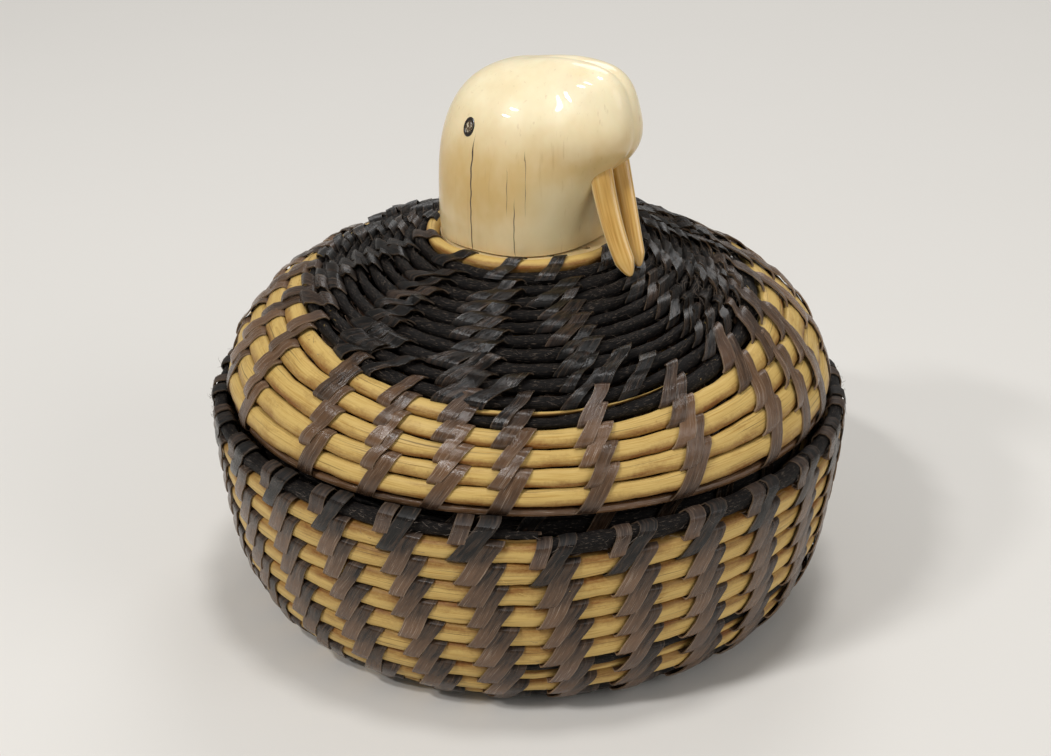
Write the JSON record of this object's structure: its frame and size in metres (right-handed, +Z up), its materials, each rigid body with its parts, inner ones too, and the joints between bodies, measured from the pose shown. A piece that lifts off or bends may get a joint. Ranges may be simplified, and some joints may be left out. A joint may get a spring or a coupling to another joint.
{
  "type": "lidded baleen basket",
  "caption": "Small round coiled basket of baleen rods sewn with slanting strips, with a domed lift-off lid and a carved walrus-head finial on an ivory disc.",
  "frame": {"origin": "on the basket's axis, at the surface that it stands on", "axes": "+Z up along the axis of the basket and lid, -Y towards the front as pictured, +X to the viewer's right"},
  "size_m": [0.1006, 0.1006, 0.0868],
  "materials": {
    "light_rod": "satin honey-tan rod with fibre streaks and orange-brown stains",
    "dark_rod": "near-black fibrous rod, scraped, with grey highlights",
    "sewing_strip": "thin grey-brown translucent strip, glossy and lengthways streaked",
    "ivory": "polished aged ivory, cream to tan, with fine dark age cracks",
    "tusk_ivory": "polished yellow-tan ivory",
    "eye_inlay": "dark inlaid plug"
  },
  "bodies": {
    "basket": {"base_coil": "dark_rod", "base_disc": "ivory", "lower_dark_splice": "dark_rod", "lower_light_splice": "light_rod", "lower_wall_coil": "light_rod", "rim_coil": "dark_rod", "upper_dark_splice": "dark_rod", "upper_wall_coil": "light_rod", "wall_stitches_01": "sewing_strip", "wall_stitches_02": "sewing_strip", "wall_stitches_03": "sewing_strip", "wall_stitches_04": "sewing_strip", "wall_stitches_05": "sewing_strip", "wall_stitches_06": "sewing_strip", "wall_stitches_07": "sewing_strip", "wall_stitches_08": "sewing_strip", "wall_stitches_09": "sewing_strip", "wall_stitches_10": "sewing_strip", "wall_stitches_11": "sewing_strip", "wall_stitches_12": "sewing_strip", "wall_stitches_13": "sewing_strip", "wall_stitches_14": "sewing_strip", "wall_stitches_15": "sewing_strip", "wall_stitches_16": "sewing_strip", "wall_stitches_17": "sewing_strip", "wall_stitches_18": "sewing_strip", "wall_stitches_19": "sewing_strip", "wall_stitches_20": "sewing_strip", "wall_stitches_21": "sewing_strip", "wall_stitches_22": "sewing_strip", "wall_stitches_23": "sewing_strip", "wall_stitches_24": "sewing_strip", "wall_stitches_25": "sewing_strip", "wall_stitches_26": "sewing_strip", "wall_stitches_27": "sewing_strip", "wall_stitches_28": "sewing_strip"},
    "lid": {"finial_peg": "ivory", "left_eye": "eye_inlay", "left_tusk": "tusk_ivory", "lid_dark_coil": "dark_rod", "lid_disc": "ivory", "lid_flange_coil": "dark_rod", "lid_light_coil": "light_rod", "lid_rim_band": "sewing_strip", "lid_start_coil": "light_rod", "lid_stitches_01": "sewing_strip", "lid_stitches_02": "sewing_strip", "lid_stitches_03": "sewing_strip", "lid_stitches_04": "sewing_strip", "lid_stitches_05": "sewing_strip", "lid_stitches_06": "sewing_strip", "lid_stitches_07": "sewing_strip", "lid_stitches_08": "sewing_strip", "lid_stitches_09": "sewing_strip", "lid_stitches_10": "sewing_strip", "lid_stitches_11": "sewing_strip", "lid_stitches_12": "sewing_strip", "right_eye": "eye_inlay", "right_tusk": "tusk_ivory", "walrus_head": "ivory"}
  },
  "joints": [
    {"name": "lid_lift", "type": "slide", "parent": "basket", "child": "lid", "axis": [0, 0, 1], "range_m": [0, 0.1]}
  ]
}
